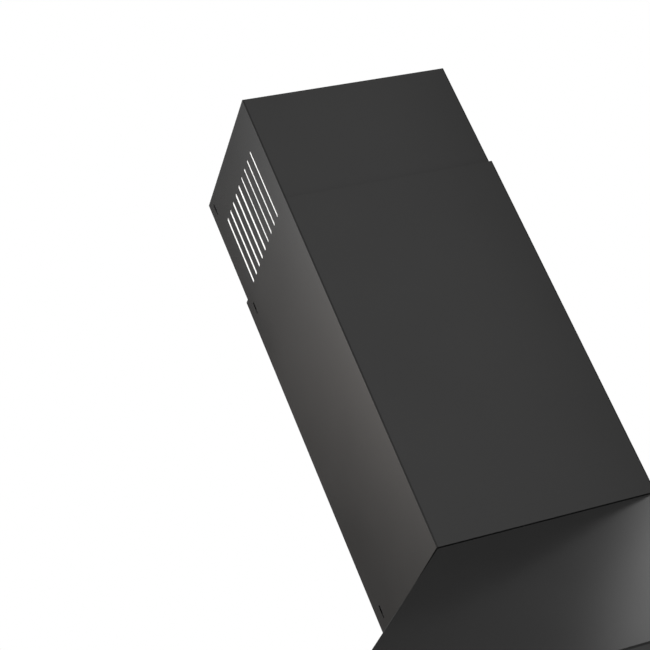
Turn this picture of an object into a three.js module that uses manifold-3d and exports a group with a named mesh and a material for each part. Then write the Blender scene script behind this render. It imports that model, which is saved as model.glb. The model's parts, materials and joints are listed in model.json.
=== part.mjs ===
// Island range hood: a four-sided pyramid canopy hung from the ceiling by a telescopic steel
// frame, which a two-piece square chimney covers. Millimetres, +Z up. The origin is in the
// ceiling plane, at the centre of the ceiling frame. -Y is the side with the push buttons.

import * as THREE from "three";
import { mergeVertices } from "three/addons/utils/BufferGeometryUtils.js";
import Module from "manifold-3d";

const wasm = await Module();
wasm.setup();

// ---- Driving dimensions ----------------------------------------------------------------

const GAP = 0.3; // between pieces that touch

const SHEET = 0.6; // chimney sheet thickness
const UPPER = { halfX: 150, halfY: 120, top: 0, length: 480 };
const EXPOSED = 165; // upper chimney seen above the lower one
const LOWER = { halfX: 151.8, halfY: 124, length: 516, seatFold: 6 };
LOWER.top = UPPER.top - EXPOSED;
LOWER.bottom = LOWER.top - LOWER.length;

const VENT = { count: 9, pitch: 19.2, width: 6, length: 108, below: 54 };
const FRONT_VENT = { count: 4, width: 4.5 }; // the slots nearest the front are narrower
const VENT_SCREEN = { thick: 1.5, halfY: 88, top: 44, bottom: 172 };
const HOOK_SLOT = { width: 4, length: 18 };
const HOOK_WINDOW = { halfY: 3.2, halfZ: 10 }; // in the rear covers' side folds
const UPPER_HOOK = { fromBack: 17.5, fromTop: 19.5 };
const LOWER_HOOK = { fromBack: 22, fromEnd: 23 };
const COVER_FLANGE = 26; // depth of the rear covers' side folds

const SHADOW_GAP = 2; // between the lower chimney and the canopy
const CANOPY = { halfX: 450, halfY: 311, slope: 236, rim: 58, sheet: 1.2, fold: 14 };
CANOPY.top = LOWER.bottom - SHADOW_GAP;
CANOPY.shoulder = CANOPY.top - CANOPY.slope;
CANOPY.bottom = CANOPY.shoulder - CANOPY.rim;
const TOP_PLATE = { thick: 2, holeX: 120, holeY: 95 };

const CEILING = { thick: 2, openX: 110, openY: 80, flange: 40, holeR: 4, holeX: 90, holeY: 96 };
const LEG = { cornerX: 142.5, cornerY: 112.5, thick: 2, upperWide: 18, lowerWide: 22, slide: 0.5 };
const SCREW = { x: 70, z: -22, r: 2 };
const UPPER_LEG_END = -570;
const LOWER_LEG_TOP = -283;
const BOLT = { z: -300, r: 2, headR: 4.5, head: 2.2, slotHalf: 2.6, slotTop: -190, slotEnd: -560 };

const FAN = { z: -575, r: 75, halfX: 60, blades: 18, hubR: 38, halfCase: 80, wall: 2 };
const SCROLL = { rMin: 86, rMax: 103, chuteY: 84, top: -455, inletR: 58 };
const CRADLE = { x: 49, halfY: 112, thick: 2, foot: 16, top: -645 };
const COLLAR = { r: 75, wall: 1.6, lip: 3, top: -410 };
const FLAP = { z: -438, r: 71, thick: 1.5, pin: 1.6, knuckleR: 3.1, clear: 4.2 };

const PAN = { z: -958, thick: 1, halfX: 447, halfY: 308, openX: 389, openY: 160.6 };
const FILTER = { wide: 255, deep: 318, thick: 9.5, border: 14, pitch: 258, bottom: -960.5 };
const LATCH = { wide: 44, deep: 14, well: 22, thick: 3, grip: 5, tongue: 14, bite: 2.4 };
const LAMP = { x: 290, y: 230, bezelR: 33, holeR: 29, lensR: 26.5 };

const BUTTON = { count: 5, pitch: 23, r: 5.2, proud: 3.5, z: -946 };
const BEZEL = { halfX: 64, halfZ: 12, thick: 1.2 };
const GLAND_Y = 105;

// ---- Materials -------------------------------------------------------------------------

const finish = (color, roughness, metalness, extra = {}) =>
  new THREE.MeshStandardMaterial({ color, roughness, metalness, ...extra });

const blackPaint = finish(0x1c1c1c, 0.45, 0.2);
const zincSteel = finish(0xb4b8ba, 0.4, 0.9);
const blackPlastic = finish(0x151515, 0.6, 0);
const greyPlastic = finish(0x5a5d60, 0.55, 0);
const aluminium = finish(0xc4c6c8, 0.35, 1);
const clearLens = finish(0xf2f0e8, 0.2, 0, { transparent: true, opacity: 0.6 });
const whiteFleece = finish(0xf6f6f4, 0.9, 0);
const boltSteel = finish(0x8f9296, 0.35, 1);

// ---- Solid helpers ---------------------------------------------------------------------

// A closed geometry as a manifold-3d solid, facing out.
function solid(geometry) {
  const bare = geometry.index ? geometry.toNonIndexed() : geometry.clone();
  bare.deleteAttribute("normal");
  bare.deleteAttribute("uv");
  const merged = mergeVertices(bare, 1e-4);
  const build = (triVerts) =>
    new wasm.Manifold(
      new wasm.Mesh({
        numProp: 3,
        vertProperties: merged.attributes.position.array,
        triVerts,
      }),
    );
  const triVerts = new Uint32Array(merged.index.array);
  const made = build(triVerts);
  return made.volume() < 0 ? build(triVerts.slice().reverse()) : made;
}

function geometryOf(made) {
  const { vertProperties, triVerts, numProp, numVert } = made.getMesh();
  const position = new Float32Array(numVert * 3);
  for (let i = 0; i < numVert; i++) {
    position.set(vertProperties.subarray(i * numProp, i * numProp + 3), i * 3);
  }
  const geometry = new THREE.BufferGeometry();
  geometry.setAttribute("position", new THREE.BufferAttribute(position, 3));
  geometry.setIndex(new THREE.BufferAttribute(triVerts, 1));
  return geometry.toNonIndexed();
}

const join = (...solids) => solids.reduce((a, b) => a.add(b));
const cut = (base, ...tools) => tools.reduce((a, b) => a.subtract(b), base);

// A box between two limits on each axis, given in either order.
function slab([x0, x1], [y0, y1], [z0, z1]) {
  const size = [x1 - x0, y1 - y0, z1 - z0].map(Math.abs);
  const box = new THREE.BoxGeometry(...size);
  return solid(box.translate((x0 + x1) / 2, (y0 + y1) / 2, (z0 + z1) / 2));
}

// A solid of revolution about +Z. The profile is a list of [radius, z].
function turned(profile, segments = 32) {
  const points = profile.map(([r, z]) => new THREE.Vector2(r, z));
  return solid(new THREE.LatheGeometry(points, segments).rotateX(Math.PI / 2));
}

// A ring of rectangular section about +Z.
const ring = (inner, outer, z0, z1, segments) =>
  turned([[inner, z0], [outer, z0], [outer, z1], [inner, z1], [inner, z0]], segments);

const disc = (r, z0, z1, segments) => turned([[0, z0], [r, z0], [r, z1], [0, z1]], segments);

const alongX = (made) => made.rotate([0, 90, 0]);
const alongY = (made) => made.rotate([-90, 0, 0]);

// A slot with round ends, in the XY plane, its length along Y, cut from z0 to z1.
function slotTool(width, length, z0, z1, arcSteps = 5) {
  const shape = new THREE.Shape();
  const reach = length / 2 - width / 2;
  shape.absarc(0, reach, width / 2, 0, Math.PI);
  shape.absarc(0, -reach, width / 2, Math.PI, 2 * Math.PI);
  shape.closePath();
  const options = { depth: z1 - z0, bevelEnabled: false, curveSegments: arcSteps };
  return solid(new THREE.ExtrudeGeometry(shape, options).translate(0, 0, z0));
}

// The same slot, upright in a side wall: its length along Z, cut along X.
const wallSlot = (width, length, halfDepth) =>
  slotTool(width, length, -halfDepth, halfDepth).rotate([90, 0, 0]).rotate([0, 0, 90]);

// A closed solid through rectangles centred on the Z axis, each [halfX, halfY, z], top first.
function rectangleLoft(sections) {
  const position = [];
  const corners = sections.map(([x, y, z]) => [[-x, -y, z], [x, -y, z], [x, y, z], [-x, y, z]]);
  const quad = (a, b, c, d) => position.push(...a, ...b, ...c, ...a, ...c, ...d);
  for (let s = 0; s + 1 < corners.length; s++) {
    const [upper, lower] = [corners[s], corners[s + 1]];
    for (let i = 0; i < 4; i++) {
      const next = (i + 1) % 4;
      quad(upper[i], lower[i], lower[next], upper[next]);
    }
  }
  quad(...corners[0]);
  quad(...corners.at(-1).toReversed());
  const geometry = new THREE.BufferGeometry();
  geometry.setAttribute("position", new THREE.Float32BufferAttribute(position, 3));
  return solid(geometry);
}

// A polygon in the XY plane made solid from z0 to z1.
function prism(plan, z0, z1) {
  const shape = new THREE.Shape(plan.map(([x, y]) => new THREE.Vector2(x, y)));
  const options = { depth: z1 - z0, bevelEnabled: false };
  return solid(new THREE.ExtrudeGeometry(shape, options).translate(0, 0, z0));
}

const hood = new THREE.Group();
const sides = [["left", -1], ["right", 1]];
const corners = [
  ["front_left", -1, -1],
  ["front_right", 1, -1],
  ["rear_left", -1, 1],
  ["rear_right", 1, 1],
];

function part(name, made, material) {
  const mesh = new THREE.Mesh(geometryOf(made), material);
  mesh.name = name;
  hood.add(mesh);
}

// ---- Ceiling frame and telescopic legs ---------------------------------------------------

// A flanged ring against the ceiling with four slotted legs welded inside its corners.
function ceilingFrame() {
  const halfX = LEG.cornerX + CEILING.thick;
  const halfY = LEG.cornerY + CEILING.thick;
  const block = slab([-halfX, halfX], [-halfY, halfY], [-CEILING.flange, 0]);
  const inside = slab(
    [-LEG.cornerX, LEG.cornerX],
    [-LEG.cornerY, LEG.cornerY],
    [-CEILING.flange - 1, -CEILING.thick],
  );
  const opening = slab([-CEILING.openX, CEILING.openX], [-CEILING.openY, CEILING.openY], [-9, 1]);
  const holes = corners.map(([, sx, sy]) =>
    disc(CEILING.holeR, -9, 1, 16).translate([sx * CEILING.holeX, sy * CEILING.holeY, 0]),
  );
  const screwHoles = sides.map(([, s]) =>
    alongY(disc(SCREW.r + GAP, -9, 9, 12)).translate([s * SCREW.x, halfY, SCREW.z]),
  );
  const slotLength = BOLT.slotTop - BOLT.slotEnd;
  const boltY = LEG.cornerY - LEG.upperWide / 2;
  const legs = corners.map(([, sx, sy]) => {
    const slot = wallSlot(2 * BOLT.slotHalf, slotLength, 4)
      .translate([sx * LEG.cornerX, sy * boltY, BOLT.slotEnd + slotLength / 2]);
    const { cornerX, cornerY, upperWide } = LEG;
    const leg = angleLeg(cornerX, cornerY, upperWide, UPPER_LEG_END, -1, sx, sy);
    return cut(leg, slot);
  });
  const frame = cut(block, inside, opening, ...holes, ...screwHoles);
  part("ceiling_frame", join(frame, ...legs), zincSteel);
}

// An L-section standing in one corner, its outer corner at (cornerX, cornerY).
function angleLeg(cornerX, cornerY, wide, z0, z1, sx, sy) {
  const t = LEG.thick;
  const a = slab([sx * cornerX, sx * (cornerX - t)], [sy * cornerY, sy * (cornerY - wide)], [z0, z1]);
  const b = slab([sx * cornerX, sx * (cornerX - wide)], [sy * cornerY, sy * (cornerY - t)], [z0, z1]);
  return join(a, b);
}

function frameLegs() {
  const boltY = LEG.cornerY - LEG.upperWide / 2;
  const cornerX = LEG.cornerX + LEG.slide + LEG.thick;
  const cornerY = LEG.cornerY + LEG.slide + LEG.thick;
  for (const [place, sx, sy] of corners) {
    const leg = angleLeg(cornerX, cornerY, LEG.lowerWide, CANOPY.top + GAP, LOWER_LEG_TOP, sx, sy);
    const hole = alongX(disc(BOLT.r + GAP, -9, 9, 12))
      .translate([sx * cornerX, sy * boltY, BOLT.z]);
    part(`lower_leg_${place}`, cut(leg, hole), zincSteel);
    frameBolt(place, sx, sx * cornerX, sy * boltY);
  }
}

// Head outside the lower leg, shank through both legs, nut inside the upper one.
function frameBolt(place, sx, x, y) {
  const nutNear = -(LEG.thick + LEG.slide + LEG.thick + GAP);
  const bolt = turned([
    [0, nutNear - 2.7],
    [BOLT.headR - 0.5, nutNear - 2.7],
    [BOLT.headR - 0.5, nutNear],
    [BOLT.r, nutNear],
    [BOLT.r, GAP],
    [BOLT.headR, GAP],
    [BOLT.headR - 0.8, GAP + BOLT.head],
    [0, GAP + BOLT.head],
  ], 12);
  const turnedOut = sx > 0 ? alongX(bolt) : bolt.rotate([0, -90, 0]);
  part(`frame_bolt_${place}`, turnedOut.translate([x, y, BOLT.z]), boltSteel);
}

// ---- Chimney -----------------------------------------------------------------------------

// Front wall and two side walls folded from one sheet, open at the rear.
function chimneyShell({ halfX, halfY }, top, bottom) {
  const block = slab([-halfX, halfX], [-halfY, halfY], [bottom, top]);
  const inside = slab(
    [-halfX + SHEET, halfX - SHEET],
    [-halfY + SHEET, halfY + 1],
    [bottom - 1, top + 1],
  );
  return cut(block, inside);
}

// Rear wall with folds inside the side walls. Each slot takes a hook struck out of a fold.
function rearCover({ halfX, halfY }, top, bottom, hooks) {
  const inner = halfX - SHEET - GAP;
  const wall = slab([-inner, inner], [halfY - SHEET, halfY], [bottom, top]);
  const pieces = sides.flatMap(([, s]) => [
    cut(
      slab([s * inner, s * (inner - SHEET)], [halfY - SHEET, halfY - COVER_FLANGE], [bottom, top]),
      ...hooks.map(([y, z]) =>
        slab(
          [s * (inner - 9), s * (inner + 9)],
          [y - HOOK_WINDOW.halfY, y + HOOK_WINDOW.halfY],
          [z - HOOK_WINDOW.halfZ, z + HOOK_WINDOW.halfZ],
        ),
      ),
    ),
    ...hooks.flatMap(([y, z]) => [
      slab([s * (inner - SHEET), s * inner], [y - 0.6, y + 0.6], [z - HOOK_WINDOW.halfZ - 1, z - 3]),
      slab([s * (inner - SHEET), s * (inner + 0.6)], [y - 0.6, y + 0.6], [z - 7, z - 3]),
    ]),
  ]);
  return join(wall, ...pieces);
}

function upperChimney() {
  const bottom = UPPER.top - UPPER.length;
  const hooks = [[UPPER.halfY - UPPER_HOOK.fromBack, UPPER.top - UPPER_HOOK.fromTop]];
  const cuts = sides.flatMap(([, s]) => [
    ...Array.from({ length: VENT.count }, (_, i) =>
      wallSlot(i < FRONT_VENT.count ? FRONT_VENT.width : VENT.width, VENT.length, 4).translate([
        s * UPPER.halfX,
        (i - (VENT.count - 1) / 2) * VENT.pitch,
        UPPER.top - VENT.below - VENT.length / 2,
      ]),
    ),
    ...hooks.map(([y, z]) =>
      wallSlot(HOOK_SLOT.width, HOOK_SLOT.length, 4).translate([s * UPPER.halfX, y, z]),
    ),
  ]);
  part("upper_chimney_shell", cut(chimneyShell(UPPER, UPPER.top, bottom), ...cuts), blackPaint);

  const holes = sides.map(([, s]) =>
    alongY(disc(SCREW.r + 0.4, -9, 9, 12)).translate([s * SCREW.x, UPPER.halfY, SCREW.z]),
  );
  const cover = rearCover(UPPER, UPPER.top, bottom, hooks);
  part("upper_chimney_rear_cover", cut(cover, ...holes), blackPaint);

  const head = UPPER.halfY + GAP;
  for (const [place, s] of sides) {
    const screw = turned([
      [0, -11],
      [SCREW.r, -11],
      [SCREW.r, 0],
      [4.2, 0],
      [3.4, 2],
      [0, 2],
    ], 12);
    part(
      `chimney_screw_${place}`,
      alongY(screw).translate([s * SCREW.x, head, SCREW.z]),
      boltSteel,
    );

    const near = s * (UPPER.halfX - SHEET - GAP);
    const screen = slab(
      [near, near - s * VENT_SCREEN.thick],
      [-VENT_SCREEN.halfY, VENT_SCREEN.halfY],
      [-VENT_SCREEN.bottom, -VENT_SCREEN.top],
    );
    part(`vent_screen_${place}`, screen, whiteFleece);
  }
}

function lowerChimney() {
  const { top, bottom, seatFold, halfX, halfY } = LOWER;
  const hookY = halfY - LOWER_HOOK.fromBack;
  const hooks = [[hookY, top - LOWER_HOOK.fromEnd], [hookY, bottom + LOWER_HOOK.fromEnd]];
  const cuts = sides.flatMap(([, s]) =>
    hooks.map(([y, z]) =>
      wallSlot(HOOK_SLOT.width, HOOK_SLOT.length, 4).translate([s * halfX, y, z]),
    ),
  );
  const seat = [bottom, bottom + SHEET];
  const rear = halfY - COVER_FLANGE - GAP;
  const folds = [
    slab([-halfX, halfX], [-halfY, -halfY + seatFold], seat),
    ...sides.map(([, s]) => slab([s * halfX, s * (halfX - seatFold)], [-halfY, rear], seat)),
  ];
  const shell = cut(join(chimneyShell(LOWER, top, bottom), ...folds), ...cuts);
  part("lower_chimney_shell", shell, blackPaint);
  part("lower_chimney_rear_cover", rearCover(LOWER, top, bottom, hooks), blackPaint);
}

// ---- Canopy ------------------------------------------------------------------------------

// A pyramid of four folded panels, mitred along the hips, under a flat top plate.
function canopy() {
  const { halfX, halfY, top, shoulder, bottom, sheet, fold } = CANOPY;
  const outer = rectangleLoft([
    [LOWER.halfX, LOWER.halfY, top],
    [halfX, halfY, shoulder],
    [halfX, halfY, bottom],
  ]);
  const inner = rectangleLoft([
    [LOWER.halfX - sheet, LOWER.halfY - sheet, top - TOP_PLATE.thick],
    [halfX - sheet, halfY - sheet, shoulder - sheet],
    [halfX - sheet, halfY - sheet, bottom + sheet],
  ]);
  const mouth = slab(
    [-halfX + fold, halfX - fold],
    [-halfY + fold, halfY - fold],
    [bottom - 1, bottom + sheet + 1],
  );
  const airHole = slab(
    [-TOP_PLATE.holeX, TOP_PLATE.holeX],
    [-TOP_PLATE.holeY, TOP_PLATE.holeY],
    [top - 9, top + 1],
  );
  const glandHole = disc(5, top - 9, top + 1, 16).translate([0, GLAND_Y, 0]);
  const keyWindow = slab([-57, 57], [-halfY - 5, -halfY + 5], [BUTTON.z - 8, BUTTON.z + 8]);
  const shell = cut(outer, inner, mouth, airHole, glandHole, keyWindow);

  // A low bead inside the shadow gap carries the lower chimney.
  const beadX = LOWER.halfX - 3.5;
  const beadY = LOWER.halfY - 3.5;
  const bead = cut(
    slab([-beadX, beadX], [-beadY, beadY], [top - 1, LOWER.bottom - GAP]),
    slab([-beadX + 2.7, beadX - 2.7], [-beadY + 2.7, beadY - 2.7], [top - 2, top + 9]),
  );
  const inset = GAP / 2;
  const plateX = [-LOWER.halfX + inset, LOWER.halfX - inset];
  const plateY = [-LOWER.halfY + inset, LOWER.halfY - inset];
  const plate = shell.intersect(slab(plateX, plateY, [top - 20, top + 20]));
  part("canopy_top_plate", join(plate, bead), blackPaint);

  // Each panel is what lies between two upright planes through the hips.
  const reach = 1.2;
  const farX = LOWER.halfX + reach * (halfX - LOWER.halfX);
  const farY = LOWER.halfY + reach * (halfY - LOWER.halfY);
  const hip = Math.hypot(halfX - LOWER.halfX, halfY - LOWER.halfY);
  const stepX = (inset * hip) / (halfY - LOWER.halfY);
  const stepY = (inset * hip) / (halfX - LOWER.halfX);
  for (const [place, s] of [["front", -1], ["rear", 1]]) {
    const plan = [[-LOWER.halfX, s * LOWER.halfY], [LOWER.halfX, s * LOWER.halfY],
      [farX, s * farY], [-farX, s * farY]];
    const wedge = prism(plan, bottom - 9, top + 9).translate([0, s * stepY, 0]);
    part(`canopy_panel_${place}`, shell.intersect(wedge), blackPaint);
  }
  for (const [place, s] of sides) {
    const plan = [[s * LOWER.halfX, -LOWER.halfY], [s * farX, -farY],
      [s * farX, farY], [s * LOWER.halfX, LOWER.halfY]];
    const wedge = prism(plan, bottom - 9, top + 9).translate([s * stepX, 0, 0]);
    part(`canopy_panel_${place}`, shell.intersect(wedge), blackPaint);
  }
}

function cableGland() {
  const z = CANOPY.top;
  const gland = turned([
    [2.5, z - 6],
    [4.6, z - 6],
    [4.6, z + GAP],
    [8, z + GAP],
    [8, z + 4],
    [6, z + 11],
    [2.5, z + 11],
    [2.5, z - 6],
  ], 16);
  part("cable_gland", gland.translate([0, GLAND_Y, 0]), blackPlastic);
}

function bottomPan() {
  const { z, thick, halfX, halfY, openX, openY } = PAN;
  const skirtEnd = CANOPY.bottom + CANOPY.sheet + GAP;
  const tray = cut(
    slab([-halfX, halfX], [-halfY, halfY], [skirtEnd, z]),
    slab([-halfX + thick, halfX - thick], [-halfY + thick, halfY - thick], [skirtEnd - 1, z - thick]),
    slab([-openX, openX], [-openY, openY], [z - 9, z + 1]),
    ...corners.map(([, sx, sy]) =>
      disc(LAMP.holeR, z - 9, z + 1, 32).translate([sx * LAMP.x, sy * LAMP.y, 0]),
    ),
  );
  part("bottom_pan", tray, blackPaint);
}

function lamps() {
  const under = PAN.z - PAN.thick;
  for (const [place, sx, sy] of corners) {
    const at = [sx * LAMP.x, sy * LAMP.y, 0];
    const bezel = turned([
      [LAMP.lensR + GAP, under - 2],
      [LAMP.bezelR - 1.5, under - 2],
      [LAMP.bezelR, under - GAP],
      [LAMP.holeR - GAP, under - GAP],
      [LAMP.holeR - GAP, under + 18],
      [LAMP.lensR + GAP, under + 18],
      [LAMP.lensR + GAP, under - 2],
    ], 32);
    part(`lamp_bezel_${place}`, bezel.translate(at), aluminium);
    const lens = disc(LAMP.lensR, under - 1.2, under + 3, 32);
    part(`lamp_lens_${place}`, lens.translate(at), clearLens);
  }
}

// ---- Grease filters ----------------------------------------------------------------------

function filters() {
  const { wide, deep, thick, border, pitch, bottom } = FILTER;
  const top = bottom + thick;
  ["left", "middle", "right"].forEach((place, i) => {
    const x = (i - 1) * pitch;
    const front = -deep / 2;
    const wellX = LATCH.wide / 2 + 3;
    const wellY = front + border + LATCH.well;
    const frame = join(
      cut(
        slab([-wide / 2, wide / 2], [front, -front], [bottom, top]),
        slab([-wide / 2 + border, wide / 2 - border], [front + border, -front - border],
          [bottom - 1, top + 1]),
      ),
      slab([-wellX, wellX], [front + border - 1, wellY], [bottom, top]),
    );
    const pocket = slab(
      [-LATCH.wide / 2 - 1, LATCH.wide / 2 + 1],
      [front + 3, wellY - 3],
      [bottom - 1, bottom + LATCH.thick + GAP],
    );
    const tongueWay = slab(
      [-LATCH.tongue / 2 - GAP, LATCH.tongue / 2 + GAP],
      [front - 1, wellY - 3],
      [PAN.z, PAN.z + 2.6],
    );
    part(`filter_frame_${place}`, cut(frame, pocket, tongueWay).translate([x, 0, 0]), aluminium);

    const innerX = wide / 2 - border - GAP;
    const innerY = deep / 2 - border - GAP;
    const mesh = cut(
      slab([-innerX, innerX], [-innerY, innerY], [bottom + 1.5, top - 1.5]),
      slab([-wellX - GAP, wellX + GAP], [-deep, wellY + GAP], [bottom - 1, top + 1]),
    );
    part(`filter_mesh_${place}`, mesh.translate([x, 0, 0]), aluminium);

    const latchFront = front + 3.6;
    const back = latchFront + LATCH.deep;
    const latch = join(
      slab([-LATCH.wide / 2, LATCH.wide / 2], [latchFront, back], [bottom, bottom + LATCH.thick]),
      slab([-LATCH.wide / 2 + 6, LATCH.wide / 2 - 6], [latchFront + 8, latchFront + 10.5],
        [bottom - LATCH.grip, bottom + 1]),
      slab([-LATCH.tongue / 2, LATCH.tongue / 2], [-PAN.openY - LATCH.bite, back],
        [PAN.z + GAP, PAN.z + 2.3]),
    );
    part(`filter_latch_${place}`, latch.translate([x, 0, 0]), blackPlastic);
  });
}

// ---- Blower ------------------------------------------------------------------------------

// The scroll outline in the YZ plane, drawn in XY: a spiral that opens into an upright chute.
function scrollOutline(shrink) {
  const shape = new THREE.Shape();
  const steps = 28;
  const chute = SCROLL.chuteY - shrink;
  const lift = SCROLL.top - FAN.z - shrink;
  shape.moveTo(-chute, lift);
  for (let i = 0; i <= steps; i++) {
    const share = i / steps;
    const angle = Math.PI * (1 + share);
    const r = SCROLL.rMin + (SCROLL.rMax - SCROLL.rMin) * share - shrink;
    shape.lineTo(r * Math.cos(angle), r * Math.sin(angle));
  }
  shape.lineTo(chute, chute * 0.6);
  shape.lineTo(chute, lift);
  shape.closePath();
  return shape;
}

// The outline made solid from x0 to x1, standing at the fan's height.
function scrollBlock(shrink, x0, x1) {
  const options = { depth: x1 - x0, bevelEnabled: false };
  const block = solid(new THREE.ExtrudeGeometry(scrollOutline(shrink), options));
  return block.rotate([90, 0, 0]).rotate([0, 0, 90]).translate([x0, 0, FAN.z]);
}

function blowerHousing() {
  const { wall, halfCase } = FAN;
  const airway = join(
    scrollBlock(wall, -halfCase + wall, halfCase - wall),
    disc(COLLAR.r - 3, SCROLL.top - 20, SCROLL.top + 5, 40),
  );
  const inlets = alongX(disc(SCROLL.inletR, -200, 200, 40)).translate([0, 0, FAN.z]);
  for (const [place, s] of sides) {
    const [x0, x1] = s < 0 ? [-halfCase, -GAP / 2] : [GAP / 2, halfCase];
    const half = cut(scrollBlock(0, x0, x1), airway, inlets);
    part(`blower_housing_${place}`, half, greyPlastic);
  }
}

// Two folded angles stand across the canopy's air hole; the scroll nests in their upright webs.
function blowerCradle() {
  const { x, halfY, thick, foot, top } = CRADLE;
  const seat = CANOPY.top + GAP;
  const room = scrollBlock(-GAP, -FAN.halfCase, FAN.halfCase);
  for (const [place, s] of sides) {
    const web = slab([s * x, s * (x + thick)], [-halfY, halfY], [seat, top]);
    const base = slab([s * x, s * (x + foot)], [-halfY, halfY], [seat, seat + thick]);
    part(`blower_cradle_${place}`, cut(join(web, base), room), zincSteel);
  }
}

// Forward-curved blades between two end rings, on a middle hub plate.
function impeller() {
  const { r, halfX, blades, hubR } = FAN;
  const bladeDepth = 16;
  const blade = () => {
    const shape = new THREE.Shape();
    shape.absarc(0, 0, bladeDepth, 0, Math.PI / 2);
    shape.absarc(0, 0, bladeDepth - 1.4, Math.PI / 2, 0, true);
    shape.closePath();
    const options = { depth: 2 * halfX - 2, bevelEnabled: false, curveSegments: 3 };
    return solid(new THREE.ExtrudeGeometry(shape, options).translate(r - bladeDepth - 1, 0, -halfX + 1));
  };
  const rings = [-1, 1].map((s) => ring(r - bladeDepth, r, s * halfX - 1.5, s * halfX + 1.5, 30));
  const plate = disc(r - 1.5, -1.2, 1.2, 30);
  const hub = disc(12, -14, 1, 20);
  const bore = disc(4.3, -20, 20, 16);
  const vanes = Array.from({ length: blades }, (_, i) => blade().rotate([0, 0, (i * 360) / blades]));
  const wheel = cut(join(plate, hub, ...rings, ...vanes), bore);
  part("impeller", alongX(wheel).translate([0, 0, FAN.z]), blackPlastic);

  const shaft = join(disc(4, -18, 26, 16), disc(9, -18.5, -15, 16));
  part("motor_shaft", alongX(shaft).translate([0, 0, FAN.z]), boltSteel);

  const motor = cut(disc(hubR, 6, 62, 28), disc(4.6, 0, 30, 16));
  part("motor", alongX(motor).translate([0, 0, FAN.z]), zincSteel);
}

// Three arms across the right-hand inlet carry the motor.
function motorBracket() {
  const face = FAN.halfCase + GAP;
  const arms = [90, 210, 330].map((turn) =>
    slab([0, SCROLL.inletR + 12], [-7, 7], [face, face + 2]).rotate([0, 0, turn]),
  );
  const boss = disc(FAN.hubR - 6, 62 + GAP, face + 2, 28);
  const bracket = join(disc(FAN.hubR + 4, face, face + 2, 28), boss, ...arms);
  part("motor_bracket", alongX(bracket).translate([0, 0, FAN.z]), zincSteel);
}

function ductCollar() {
  const { r, wall, lip, top } = COLLAR;
  const base = SCROLL.top + GAP;
  const collar = turned([
    [r - wall, base],
    [r + 4, base],
    [r + 4, base + 2],
    [r, base + 2],
    [r, top - 2],
    [r + lip - wall, top - 2],
    [r + lip - wall, top],
    [r - wall, top],
    [r - wall, base],
  ], 40);
  const pin = alongY(disc(FLAP.pin, -r + wall / 2, r - wall / 2, 10));
  part("duct_collar", join(collar, pin.translate([0, 0, FLAP.z])), greyPlastic);
}

// Two half discs, hinged on the pin, lie shut across the collar and fold up in the airflow.
function damperFlaps() {
  const { r, thick, pin, knuckleR, clear } = FLAP;
  const knuckleSpans = { left: [[-60, -40], [10, 30]], right: [[-30, -10], [40, 60]] };
  for (const [place, s] of sides) {
    const half = disc(r, -thick / 2, thick / 2, 40).intersect(
      slab([s * clear, s * 90], [-90, 90], [-9, 9]),
    );
    const hinge = knuckleSpans[place].flatMap(([y0, y1]) => [
      alongY(ring(pin + GAP, knuckleR, y0, y1, 16)),
      slab([s * (pin + 0.8), s * (clear + 1)], [y0, y1], [-thick / 2, thick / 2]),
    ]);
    part(`damper_flap_${place}`, join(half, ...hinge).translate([0, 0, FLAP.z]), blackPlastic);
  }
}

// ---- Electrics ---------------------------------------------------------------------------

function electrics() {
  const floor = PAN.z + GAP;
  part("control_box", slab([-80, 80], [-258, -188], [floor, floor + 38]), blackPlastic);
}

function controls() {
  const face = -CANOPY.halfY;
  const { halfX, halfZ, thick } = BEZEL;
  const at = (i) => (i - (BUTTON.count - 1) / 2) * BUTTON.pitch;
  const bore = (radius, i) =>
    alongY(disc(radius, -40, 40, 20)).translate([at(i), face, BUTTON.z]);
  const each = Array.from({ length: BUTTON.count }, (_, i) => i);

  const plate = slab(
    [-halfX, halfX],
    [face - GAP - thick, face - GAP],
    [BUTTON.z - halfZ, BUTTON.z + halfZ],
  );
  part("button_bezel", cut(plate, ...each.map((i) => bore(BUTTON.r + GAP, i))), aluminium);

  const block = slab([-54, 54], [face + 8, face + 20], [BUTTON.z - 6.5, BUTTON.z + 6.5]);
  part("switch_block", cut(block, ...each.map((i) => bore(2.9, i))), blackPlastic);

  const names = ["off", "low", "medium", "high", "light"];
  for (const i of each) {
    const button = turned([
      [0, -14],
      [2.5, -14],
      [2.5, -3.5],
      [BUTTON.r, -3.5],
      [BUTTON.r, BUTTON.proud + 1.1],
      [BUTTON.r - 0.5, BUTTON.proud + 1.6],
      [0, BUTTON.proud + 1.6],
    ], 20);
    const facing = button.rotate([90, 0, 0]).translate([at(i), face, BUTTON.z]);
    part(`button_${names[i]}`, facing, boltSteel);
  }
}

ceilingFrame();
frameLegs();
upperChimney();
lowerChimney();
canopy();
cableGland();
bottomPan();
lamps();
filters();
blowerHousing();
blowerCradle();
impeller();
motorBracket();
ductCollar();
damperFlaps();
electrics();
controls();

export default hood;
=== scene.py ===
"""Island range hood in satin black steel, seen from below its front left corner."""

import json
import math

import bmesh
import bpy
from mathutils import Matrix, Vector


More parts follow.
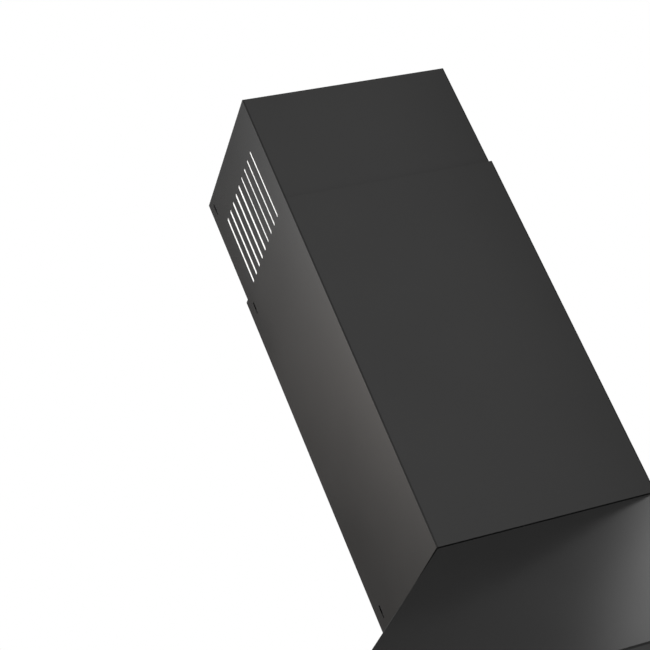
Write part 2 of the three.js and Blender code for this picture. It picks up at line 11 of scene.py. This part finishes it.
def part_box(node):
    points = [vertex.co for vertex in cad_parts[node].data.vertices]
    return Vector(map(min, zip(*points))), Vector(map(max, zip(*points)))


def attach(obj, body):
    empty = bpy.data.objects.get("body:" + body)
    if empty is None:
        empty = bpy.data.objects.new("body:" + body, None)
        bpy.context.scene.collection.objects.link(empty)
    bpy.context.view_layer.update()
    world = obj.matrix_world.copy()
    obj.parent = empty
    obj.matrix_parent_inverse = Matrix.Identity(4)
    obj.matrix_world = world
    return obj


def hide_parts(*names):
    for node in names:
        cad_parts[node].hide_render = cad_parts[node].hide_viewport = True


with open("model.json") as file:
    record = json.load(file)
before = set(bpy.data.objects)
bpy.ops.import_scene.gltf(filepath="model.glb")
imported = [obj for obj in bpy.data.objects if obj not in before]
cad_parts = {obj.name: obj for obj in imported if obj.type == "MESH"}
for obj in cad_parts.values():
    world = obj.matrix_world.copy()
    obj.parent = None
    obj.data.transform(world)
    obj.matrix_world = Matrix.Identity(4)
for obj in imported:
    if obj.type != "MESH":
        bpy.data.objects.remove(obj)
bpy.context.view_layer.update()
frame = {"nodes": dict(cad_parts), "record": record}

nodes = frame["nodes"]
behaviour = frame["record"]["behaviour"]
body_of = {node: body for body, members in behaviour["bodies"].items() for node in members}
slot_of = {entry["node"]: entry["material_slot"] for entry in frame["record"]["subparts"]}

MM = 0.001


# ---- Materials ---------------------------------------------------------------------------


class Finish:
    """A Principled material whose detail comes from nodes in object space."""

    def __init__(self, name, **fixed):
        self.material = bpy.data.materials.new(name)
        self.material.use_nodes = True
        self.tree = self.material.node_tree
        self.shader = self.tree.nodes["Principled BSDF"]
        self.place = self.add("ShaderNodeTexCoord").outputs["Object"]
        for socket, value in fixed.items():
            self.shader.inputs[socket.replace("_", " ")].default_value = value

    def add(self, kind, **settings):
        node = self.tree.nodes.new(kind)
        for key, value in settings.items():
            setattr(node, key, value)
        return node

    def join(self, source, target):
        self.tree.links.new(source, target)

    def stretched(self, scale, source=None):
        node = self.add("ShaderNodeMapping")
        self.join(source or self.place, node.inputs["Vector"])
        node.inputs["Scale"].default_value = scale
        return node.outputs["Vector"]

    def noise(self, scale, detail=2.0, roughness=0.5, source=None):
        node = self.add("ShaderNodeTexNoise")
        self.join(source or self.place, node.inputs["Vector"])
        node.inputs["Scale"].default_value = scale
        node.inputs["Detail"].default_value = detail
        node.inputs["Roughness"].default_value = roughness
        return node.outputs["Fac"]

    def spangle(self, scale, source=None):
        node = self.add("ShaderNodeTexVoronoi")
        self.join(source or self.place, node.inputs["Vector"])
        node.inputs["Scale"].default_value = scale
        return node

    def spread(self, fac, low, high, start=0.3, end=0.7):
        """fac from start..end becomes low..high."""
        node = self.add("ShaderNodeMapRange")
        self.join(fac, node.inputs["Value"])
        for name, value in zip(("From Min", "From Max", "To Min", "To Max"), (start, end, low, high)):
            node.inputs[name].default_value = value
        return node.outputs["Result"]

    def between(self, fac, dark, light, start=0.3, end=0.7):
        node = self.add("ShaderNodeValToRGB")
        self.join(fac, node.inputs["Fac"])
        ends = node.color_ramp.elements
        ends[0].position, ends[1].position = start, end
        ends[0].color, ends[1].color = (*dark, 1), (*light, 1)
        return node.outputs["Color"]

    def mixed(self, fac, first, second):
        node = self.add("ShaderNodeMix", data_type="RGBA")
        self.join(fac, node.inputs[0])
        self.join(first, node.inputs[6])
        self.join(second, node.inputs[7])
        return node.outputs[2]

    def colour(self, source):
        self.join(source, self.shader.inputs["Base Color"])

    def rough(self, source):
        self.join(source, self.shader.inputs["Roughness"])

    def bump(self, height, depth, under=None):
        node = self.add("ShaderNodeBump")
        node.inputs["Strength"].default_value = 1.0
        node.inputs["Distance"].default_value = depth
        self.join(height, node.inputs["Height"])
        if under is not None:
            self.join(under, node.inputs["Normal"])
        self.join(node.outputs["Normal"], self.shader.inputs["Normal"])
        return node.outputs["Normal"]

    def worn(self, source, light, start=0.54, end=0.62):
        """source, lightened along outer edges."""
        edge = self.spread(self.add("ShaderNodeNewGeometry").outputs["Pointiness"], 0.0, 0.5, start, end)
        pale = self.between(self.noise(90.0), light, [min(1.0, c * 1.4) for c in light])
        return self.mixed(edge, source, pale)


def black_paint():
    """Satin powder coat: near black, with a fine orange peel."""
    f = Finish("black_paint", IOR=1.5, Metallic=0.0)
    broad = f.noise(5.0, 3.0)
    grain = f.noise(1500.0, 2.0)
    peel = f.noise(420.0, 2.0, 0.4)
    base = f.between(broad, (0.0180, 0.0180, 0.0179), (0.0215, 0.0215, 0.0213))
    f.colour(f.worn(base, (0.034, 0.034, 0.034)))
    f.rough(f.spread(broad, 0.12, 0.145))
    under = f.bump(peel, 0.006 * MM)
    f.bump(grain, 0.0015 * MM, under)
    return f.material


def zinc_steel():
    """Hot-dip galvanised sheet with faint spangle."""
    f = Finish("zinc_steel", Metallic=0.95)
    cells = f.spangle(85.0)
    tone = f.between(cells.outputs["Color"], (0.40, 0.41, 0.42), (0.56, 0.58, 0.59), 0.1, 0.9)
    f.colour(f.worn(tone, (0.62, 0.63, 0.64)))
    f.rough(f.spread(f.noise(40.0, 4.0), 0.34, 0.52))
    f.bump(f.noise(600.0, 3.0), 0.01 * MM)
    return f.material


def brushed(name, dark, light, along, rough=(0.24, 0.36), anisotropic=0.4):
    """Brushed metal: streaks drawn out along one direction."""
    f = Finish(name, Metallic=1.0, Anisotropic=anisotropic)
    streak = f.noise(60.0, 4.0, 0.6, f.stretched(along))
    f.colour(f.worn(f.between(streak, dark, light), [min(1.0, c * 1.15) for c in light]))
    f.rough(f.spread(streak, *rough))
    f.bump(streak, 0.004 * MM)
    return f.material


def plastic(name, dark, light, rough=(0.5, 0.62), grain=900.0):
    """Moulded plastic with a spark-eroded texture."""
    f = Finish(name, IOR=1.46)
    f.colour(f.worn(f.between(f.noise(25.0, 3.0), dark, light), [c * 1.6 for c in light]))
    f.rough(f.spread(f.noise(45.0, 2.0), *rough))
    f.bump(f.noise(grain, 2.0), 0.012 * MM)
    return f.material


def filter_mesh():
    f = Finish("filter_mesh", Metallic=1.0)
    patch = f.noise(9.0, 2.0)
    f.colour(f.between(patch, (0.58, 0.59, 0.6), (0.66, 0.67, 0.68)))
    f.rough(f.spread(f.noise(300.0, 2.0), 0.3, 0.42))
    f.bump(f.noise(900.0, 3.0), 0.03 * MM)
    return f.material


def lamp_glass():
    """Frosted lens moulded with fine rings about its own middle."""
    f = Finish("lamp_glass", IOR=1.5)
    offset = f.add("ShaderNodeVectorMath", operation="SUBTRACT")
    f.join(f.add("ShaderNodeTexCoord").outputs["Generated"], offset.inputs[0])
    offset.inputs[1].default_value = (0.5, 0.5, 0.0)
    flat = f.stretched((1.0, 1.0, 0.0), offset.outputs["Vector"])
    rings = f.add("ShaderNodeTexWave", wave_type="RINGS", rings_direction="SPHERICAL")
    f.join(flat, rings.inputs["Vector"])
    rings.inputs["Scale"].default_value = 7.0
    f.colour(f.between(rings.outputs["Fac"], (0.74, 0.73, 0.70), (0.86, 0.85, 0.82)))
    f.rough(f.spread(f.noise(400.0), 0.28, 0.4))
    f.bump(rings.outputs["Fac"], 0.25 * MM)
    return f.material


def white_fleece():
    """Non-woven fleece: short matted fibres."""
    f = Finish("white_fleece", IOR=1.4)
    fibre = f.noise(500.0, 5.0, 0.7, f.stretched((1.0, 1.0, 0.25)))
    f.colour(f.between(fibre, (0.93, 0.93, 0.92), (0.97, 0.97, 0.96)))
    f.rough(f.spread(fibre, 0.85, 0.98))
    f.bump(fibre, 0.05 * MM)
    return f.material


finishes = {
    "black_paint": black_paint(),
    "zinc_steel": zinc_steel(),
    "bolt_steel": brushed("bolt_steel", (0.33, 0.34, 0.36), (0.5, 0.51, 0.53), (1, 1, 8), (0.3, 0.42)),
    "button_steel": brushed("button_steel", (0.48, 0.49, 0.5), (0.66, 0.66, 0.67), (12, 1, 1)),
    "aluminium": brushed("aluminium", (0.58, 0.59, 0.6), (0.72, 0.73, 0.74), (1, 9, 1)),
    "filter_mesh": filter_mesh(),
    "black_plastic": plastic("black_plastic", (0.02, 0.02, 0.021), (0.028, 0.028, 0.029)),
    "grey_plastic": plastic("grey_plastic", (0.15, 0.155, 0.16), (0.19, 0.195, 0.2)),
    "lamp_glass": lamp_glass(),
    "white_fleece": white_fleece(),
}


# ---- Mesh helpers ------------------------------------------------------------------------


def registered(mesh, name, *stands_for, slot=None):
    """Puts a mesh in the scene in place of CAD nodes, on the first one's body, in its finish."""
    piece = bpy.data.objects.new(name, mesh)
    bpy.context.scene.collection.objects.link(piece)
    finish = slot or slot_of[stands_for[0]]
    mesh.materials.clear()
    mesh.materials.append(finishes[finish])
    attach(piece, body_of[stands_for[0]])
    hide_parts(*stands_for)
    return piece


def folded(bm, rules, width, angle=30.0):
    """Gives every sharp edge a bevel weight. rules are (test, radius) pairs; returns the widest."""
    widest = max([width, *(radius for _, radius in rules)])
    weight = bm.edges.layers.float.get("bevel_weight_edge")
    weight = weight or bm.edges.layers.float.new("bevel_weight_edge")
    for edge in bm.edges:
        if len(edge.link_faces) != 2 or edge.calc_face_angle() < math.radians(angle):
            continue
        middle = (edge.verts[0].co + edge.verts[1].co) / 2
        run = (edge.verts[1].co - edge.verts[0].co).normalized()
        radius = next((r for test, r in rules if test(middle, run)), width)
        edge[weight] = radius / widest
    for face in bm.faces:
        face.smooth = True
    return widest


def softened(piece, widest, segments):
    bevel = piece.modifiers.new("folds", "BEVEL")
    bevel.limit_method = "WEIGHT"
    bevel.width = widest
    bevel.segments = segments
    bevel.use_clamp_overlap = False
    flat = piece.modifiers.new("flats", "WEIGHTED_NORMAL")
    flat.mode = "FACE_AREA"
    flat.weight = 100
    return piece


def cad_copy(node):
    bm = bmesh.new()
    bm.from_mesh(nodes[node].data)
    bmesh.ops.remove_doubles(bm, verts=bm.verts, dist=1e-6)
    bmesh.ops.dissolve_limit(bm, angle_limit=math.radians(0.5), verts=bm.verts, edges=bm.edges)
    return bm


def crafted(node, width=0.3 * MM, segments=2, rules=(), angle=30.0):
    """The CAD shape with rounded folds and edges."""
    bm = cad_copy(node)
    widest = folded(bm, list(rules), width, angle)
    mesh = bpy.data.meshes.new(node + "_sheet")
    bm.to_mesh(mesh)
    bm.free()
    return softened(registered(mesh, node + "_made", node), widest, segments)


def upright(middle, run):
    return abs(run.z) > 0.99


# ---- Chimney -----------------------------------------------------------------------------


def shell_rules(half_y, sheet):
    """The two front folds, outside and inside."""

    def outer(middle, run):
        return upright(middle, run) and middle.y < -half_y + 0.2 * sheet

    def inner(middle, run):
        return upright(middle, run) and middle.y < -half_y + 1.5 * sheet

    return [(outer, 2.2 * MM), (inner, 1.6 * MM)]


def chimney():
    sheet = 0.6 * MM
    for stage in ("upper", "lower"):
        low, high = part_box(f"{stage}_chimney_shell")
        rules = shell_rules(-low.y, sheet)

        def cover_fold(middle, run, rear=high.y):
            return upright(middle, run) and middle.y > rear - 1.5 * sheet

        def seat_fold(middle, run, bottom=low.z):
            return middle.z < bottom + 0.1 * sheet and abs(run.z) < 0.1

        if stage == "lower":
            rules.append((seat_fold, 0.3 * MM))
        crafted(f"{stage}_chimney_shell", 0.1 * MM, 3, rules)
        crafted(f"{stage}_chimney_rear_cover", 0.1 * MM, 3, [(cover_fold, 0.25 * MM)])
    for side in ("left", "right"):
        crafted(f"chimney_screw_{side}", 0.25 * MM)
        crafted(f"vent_screen_{side}", 0.3 * MM)


# ---- Canopy ------------------------------------------------------------------------------


def rectangle_loft(loops):
    """A closed band of quads through rectangles [half x, half y, z], the last joined to the first."""
    bm = bmesh.new()
    rows = []
    for x, y, z in loops:
        rows.append([bm.verts.new((sx * x, sy * y, z)) for sx, sy in ((-1, -1), (1, -1), (1, 1), (-1, 1))])
    for upper, lower in zip(rows, rows[1:] + rows[:1]):
        for i in range(4):
            j = (i + 1) % 4
            bm.faces.new((upper[i], lower[i], lower[j], upper[j]))
    bm.normal_update()
    return bm


def canopy():
    panels = [f"canopy_panel_{side}" for side in ("front", "rear", "left", "right")]
    low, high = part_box("canopy_panel_front")
    side_low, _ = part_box("canopy_panel_left")
    _, lower_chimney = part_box("lower_chimney_shell")
    hole_x, hole_y = 120 * MM, 95 * MM
    half_x, half_y = -side_low.x, -low.y
    top = high.z
    bottom = low.z
    shoulder = top - 236 * MM
    neck_x, neck_y = lower_chimney.x, lower_chimney.y
    sheet, fold, plate = 1.2 * MM, 14 * MM, 2 * MM
    bm = rectangle_loft([
        (hole_x, hole_y, top),
        (neck_x, neck_y, top),
        (half_x, half_y, shoulder),
        (half_x, half_y, bottom),
        (half_x - fold, half_y - fold, bottom),
        (half_x - fold, half_y - fold, bottom + sheet),
        (half_x - sheet, half_y - sheet, bottom + sheet),
        (half_x - sheet, half_y - sheet, shoulder - sheet),
        (neck_x - sheet, neck_y - sheet, top - plate),
        (hole_x, hole_y, top - plate),
    ])

    def on_outer_rim(middle, run):
        return upright(middle, run) and abs(middle.x) > half_x - 0.1 * MM

    def on_shoulder(middle, run):
        outside = abs(middle.x) > half_x - 0.1 * MM or abs(middle.y) > half_y - 0.1 * MM
        return abs(middle.z - shoulder) < 0.1 * MM and outside

    def on_bottom(middle, run):
        outside = abs(middle.x) > half_x - 0.1 * MM or abs(middle.y) > half_y - 0.1 * MM
        return middle.z < bottom + 0.1 * MM and outside

    def on_neck(middle, run):
        return middle.z > top - 0.1 * MM and abs(run.z) < 0.1

    def on_hip(middle, run):
        return 0.1 < abs(run.z) < 0.95

    widest = folded(bm, [
        (on_outer_rim, 2.0 * MM),
        (on_shoulder, 2.2 * MM),
        (on_bottom, 1.0 * MM),
        (on_neck, 0.5 * MM),
        (on_hip, 1.4 * MM),
    ], 0.3 * MM, 20.0)
    mesh = bpy.data.meshes.new("canopy")
    bm.to_mesh(mesh)
    bm.free()
    shell = registered(mesh, "canopy_made", *panels)
    softened(shell, widest, 4)
    crafted("canopy_top_plate", 0.15 * MM)
    crafted("bottom_pan", 0.3 * MM)
    crafted("cable_gland", 0.3 * MM)
    return shell


# ---- The rest ----------------------------------------------------------------------------


def lattice(node, cell_x, cell_y, strand, name):
    """Expanded metal: zigzag strands that meet at their knuckles, above and below a dense core."""
    low, high = (Vector(corner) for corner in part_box(node))
    bm = bmesh.new()
    columns = int((high.x - low.x) / (cell_x / 2))
    rows = int((high.y - low.y) / cell_y)
    step_x = (high.x - low.x) / columns
    step_y = (high.y - low.y) / rows
    well_x = 26 * MM  # half the width of the latch's well, left without strands
    well_y = low.y + 23.5 * MM
    centre = (low.x + high.x) / 2
    thick = 0.5 * MM
    inset = 1.4 * MM  # how far the core lies below each face
    lift = Vector((0, 0, thick))
    half = Vector((0, strand / 2, 0))
    for level in (low.z, high.z - thick):
        for row in range(rows):
            for flip in (0, 1):
                for column in range(columns):
                    y_mid = low.y + (row + 0.5) * step_y
                    sign = 1 if flip else -1
                    x0, x1 = low.x + column * step_x, low.x + (column + 1) * step_x
                    near, far = y_mid, y_mid + sign * step_y / 2
                    y0, y1 = (near, far) if column % 2 else (far, near)
                    nearest = min(abs(x0 - centre), abs(x1 - centre))
                    if max(y0, y1) < well_y + 2 * MM and nearest < well_x:
                        continue
                    a, b = Vector((x0, y0, level)), Vector((x1, y1, level))
                    ends = [a - half, b - half, b + half, a + half]
                    for p in ends:
                        p.y = min(max(p.y, low.y), high.y)
                    base = [bm.verts.new(p) for p in ends]
                    top = [bm.verts.new(p + lift) for p in ends]
                    bm.faces.new(base[::-1])
                    bm.faces.new(top)
                    for i in (0, 2):
                        j = (i + 1) % 4
                        bm.faces.new((base[i], base[j], top[j], top[i]))
    core = cad_copy(node)
    for vert in core.verts:
        below = vert.co.z < (low.z + high.z) / 2
        vert.co.z = low.z + inset if below else high.z - inset
    mesh_core = bpy.data.meshes.new("core")
    core.to_mesh(mesh_core)
    core.free()
    bm.from_mesh(mesh_core)
    mesh = bpy.data.meshes.new(name)
    bm.to_mesh(mesh)
    bm.free()
    return registered(mesh, name, node)


def underside():
    for place in ("left", "middle", "right"):
        crafted(f"filter_frame_{place}", 0.7 * MM, 3)
        crafted(f"filter_latch_{place}", 0.6 * MM, 3)
        lattice(f"filter_mesh_{place}", 9 * MM, 5 * MM, 0.9 * MM, f"filter_mesh_{place}_made")
    for place in ("front_left", "front_right", "rear_left", "rear_right"):
        crafted(f"lamp_bezel_{place}", 0.3 * MM, 2, angle=40)
        crafted(f"lamp_lens_{place}", 0.4 * MM, 2, angle=40)
        crafted(f"lower_leg_{place}", 0.3 * MM)
        crafted(f"frame_bolt_{place}", 0.3 * MM, angle=40)


def controls():
    crafted("button_bezel", 0.25 * MM)
    crafted("switch_block", 0.4 * MM)
    for name in ("off", "low", "medium", "high", "light"):
        crafted(f"button_{name}", 0.25 * MM, 2, angle=40)


def works():
    for node in ("ceiling_frame", "blower_cradle_left", "blower_cradle_right", "motor_bracket"):
        crafted(node, 0.3 * MM)
    for node in ("blower_housing_left", "blower_housing_right", "control_box", "duct_collar"):
        crafted(node, 0.6 * MM, 2, angle=40)
    for node in ("damper_flap_left", "damper_flap_right", "impeller", "motor_shaft"):
        crafted(node, 0.25 * MM, 2, angle=40)
    crafted("motor", 1.5 * MM, 3, angle=40)


# ---- Studio ------------------------------------------------------------------------------


def camera():
    """Looks up from below the front left corner, rolled so that the hood leans to the left."""
    azimuth, elevation, roll = (math.radians(a) for a in (24.991, 26.299, -23.310))
    forward = Vector((
        math.sin(azimuth) * math.cos(elevation),
        math.cos(azimuth) * math.cos(elevation),
        math.sin(elevation),
    ))
    level = forward.cross(Vector((0, 0, 1))).normalized()
    above = level.cross(forward)
    right = level * math.cos(roll) + above * math.sin(roll)
    up = above * math.cos(roll) - level * math.sin(roll)
    data = bpy.data.cameras.new("camera")
    data.sensor_width = 36.0
    data.lens = 115.243
    eye = bpy.data.objects.new("camera", data)
    bpy.context.scene.collection.objects.link(eye)
    turn = Matrix((right, up, -forward)).transposed().to_4x4()
    eye.matrix_world = Matrix.Translation((-1.14814, -2.22071, -1.50257)) @ turn
    bpy.context.scene.camera = eye


def softbox(name, place, aim, size, power, in_gloss=True):
    data = bpy.data.lights.new(name, "AREA")
    data.shape = "RECTANGLE"
    data.size, data.size_y = size
    data.energy = power
    lamp = bpy.data.objects.new(name, data)
    bpy.context.scene.collection.objects.link(lamp)
    lamp.location = place
    lamp.rotation_mode = "QUATERNION"
    lamp.rotation_quaternion = (Vector(aim) - Vector(place)).to_track_quat("-Z", "Y")
    lamp.visible_glossy = in_gloss
    lamp.visible_camera = False


class Surround:
    """The studio as the paint reflects it, by direction: a dim room with bright panels in it."""

    def __init__(self):
        self.world = bpy.data.worlds.new("studio")
        self.world.use_nodes = True
        self.tree = self.world.node_tree
        self.tree.nodes.clear()
        self.place = self.tree.nodes.new("ShaderNodeTexCoord").outputs["Generated"]
        self.total = None

    def math(self, operation, *terms):
        node = self.tree.nodes.new("ShaderNodeMath")
        node.operation = operation
        for socket, term in zip(node.inputs, terms):
            if isinstance(term, (int, float)):
                socket.default_value = term
            else:
                self.tree.links.new(term, socket)
        return node.outputs[0]

    def edge(self, towards, start, end):
        """0 to 1 as the direction's reach along a vector passes from start to end."""
        along = self.tree.nodes.new("ShaderNodeVectorMath")
        along.operation = "DOT_PRODUCT"
        self.tree.links.new(self.place, along.inputs[0])
        along.inputs[1].default_value = towards
        span = self.tree.nodes.new("ShaderNodeMapRange")
        span.interpolation_type = "SMOOTHSTEP"
        self.tree.links.new(along.outputs["Value"], span.inputs["Value"])
        span.inputs["From Min"].default_value = start
        span.inputs["From Max"].default_value = end
        return span.outputs["Result"]

    def panel(self, brightness, *edges):
        value = brightness
        for towards, start, end in edges:
            value = self.math("MULTIPLY", value, self.edge(towards, start, end))
        self.total = value if self.total is None else self.math("ADD", self.total, value)

    def finish(self):
        """Reflections and soft light come from the room; the camera sees a white backdrop."""
        add = self.tree.nodes.new
        lit, seen = add("ShaderNodeBackground"), add("ShaderNodeBackground")
        seen.inputs["Color"].default_value = (1, 1, 1, 1)
        self.tree.links.new(self.total, lit.inputs["Strength"])
        tint = add("ShaderNodeMix")
        tint.data_type = "RGBA"
        tint.inputs[6].default_value = (1, 1, 1, 1)
        tint.inputs[7].default_value = (1.045, 0.985, 0.94, 1)  # a warmer wall low on the left
        warm = self.math("MULTIPLY", self.edge((-1, 0, 0), 0.1, 0.3), self.edge((0, 0, 1), 0.53, 0.4))
        self.tree.links.new(warm, tint.inputs[0])
        self.tree.links.new(tint.outputs[2], lit.inputs["Color"])
        mix = add("ShaderNodeMixShader")
        self.tree.links.new(add("ShaderNodeLightPath").outputs["Is Camera Ray"], mix.inputs["Fac"])
        self.tree.links.new(lit.outputs["Background"], mix.inputs[1])
        self.tree.links.new(seen.outputs["Background"], mix.inputs[2])
        self.tree.links.new(mix.outputs["Shader"], add("ShaderNodeOutputWorld").inputs["Surface"])
        return self.world


def studio():
    room = Surround()
    room.panel(0.14)
    room.panel(0.16, ((0, 0, 1), 0.6, -0.1))
    room.panel(  # a black flag behind
        -0.115, ((-1, 0, 0), 0.0, 0.25), ((0, 1, 0), 0.5, 0.7), ((0, 0, 1), 0.15, 0.4),
    )
    room.panel(  # in front, its right edge 31 degrees round
        0.5, ((1, 0.613, 0), 0.045, -0.025), ((0, 0.72, 1), 0.09, 0.0), ((0, -1, 0), 0.2, 0.45),
        ((0, 0, 1), -0.6, -0.3), ((1, 0.25, 0), -0.1, 0.05),
    )
    room.panel(  # overhead, to the right
        2.05, ((1, -0.7, 0), 0.404, 0.439), ((0, 0, 1), 0.4, 0.6), ((0, 1, 0), -0.06, -0.02),
        ((0, 1, 0), 0.015, 0.09),
    )
    room.panel(  # its soft spill
        0.09, ((1, 0, 0), 0.36, 0.42), ((0, 1, 0), 0.2, 0.05), ((0, 1, 0), -0.06, -0.02),
        ((0, 0, 1), 0.6, 0.75),
    )
    room.panel(0.25, ((0, 0, 1), 0.08, -0.2))  # the pale floor
    room.panel(  # behind and to the left, high up
        1.0, ((-1, -0.4515, 0), 0.008, 0.018), ((0, 1, 0), 0.1, 0.3), ((0, 0, 1), 0.24, 0.43),
        ((0, 0, 1), 0.62, 0.46),
    )
    bpy.context.scene.world = room.finish()

    centre = (0, 0, -0.45)
    softbox("key_left", (-3.2, -0.9, 0.2), (-0.15, 0, -0.2), (2.4, 2.4), 118, False)
    softbox("key_right", (3.2, -0.9, 0.2), (0.15, 0, -0.2), (2.4, 2.4), 105, False)
    softbox("under", (0.3, -1.2, -3.2), centre, (2.5, 2.5), 40)
    floor_z, reach = -6.2, 30  # the pale floor, kept out of reflections and bounced light
    softbox("floor_wash", (0, 0, -3.9), (0, 0, floor_z), (2 * reach, 2 * reach), 10500, False)

    bm = bmesh.new()
    for sx, sy in ((-1, -1), (1, -1), (1, 1), (-1, 1)):
        bm.verts.new((sx * reach, sy * reach, floor_z))
    bm.faces.new(bm.verts)
    mesh = bpy.data.meshes.new("floor")
    bm.to_mesh(mesh)
    bm.free()
    floor = bpy.data.objects.new("floor", mesh)
    bpy.context.scene.collection.objects.link(floor)
    pale = Finish("pale_floor", IOR=1.4)
    pale.colour(pale.between(pale.noise(0.6, 2.0), (0.78, 0.78, 0.78), (0.82, 0.82, 0.82)))
    pale.rough(pale.spread(pale.noise(3.0), 0.75, 0.85))
    mesh.materials.append(pale.material)
    floor.visible_diffuse = False
    floor.visible_glossy = False

    view = bpy.context.scene.view_settings
    view.view_transform = "Standard"
    view.look = "None"
    view.exposure = 0.0
    view.gamma = 1.0


camera()
chimney()
canopy()
underside()
controls()
works()
studio()

bpy.context.view_layer.update()
